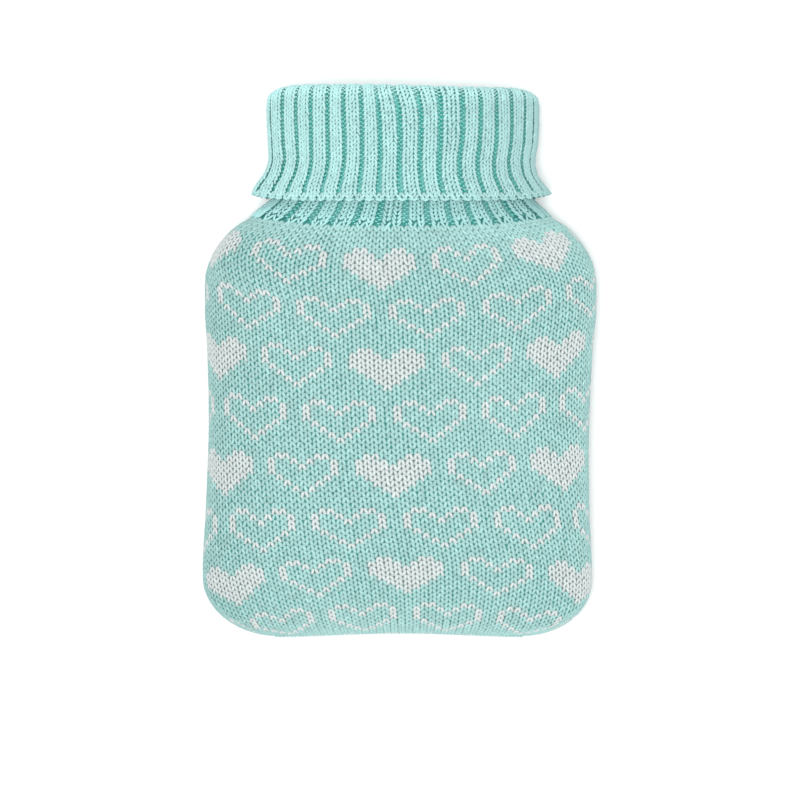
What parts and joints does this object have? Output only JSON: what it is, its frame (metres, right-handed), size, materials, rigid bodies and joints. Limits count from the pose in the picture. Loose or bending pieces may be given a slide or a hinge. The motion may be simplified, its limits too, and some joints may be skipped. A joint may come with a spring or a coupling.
{
  "type": "hot water bottle cover",
  "caption": "Knitted pouch in mint with rows of white hearts and a ribbed collar turned down outside, open at the neck to take a small flat bottle.",
  "frame": {"origin": "under the middle of the whole cover, on the surface that its back lies on", "axes": "+Z out of the face, +Y from the bottom edge towards the collar, +X to the right as the face is seen with the collar at the top"},
  "size_m": [0.1222, 0.1712, 0.0396],
  "materials": {
    "patterned_knit": "soft matt acrylic stockinette, mint with white hearts",
    "plain_rib": "soft matt acrylic rib, plain mint"
  },
  "bodies": {
    "root": {"knitted_body": "patterned_knit", "ribbed_collar": "plain_rib"}
  },
  "joints": []
}
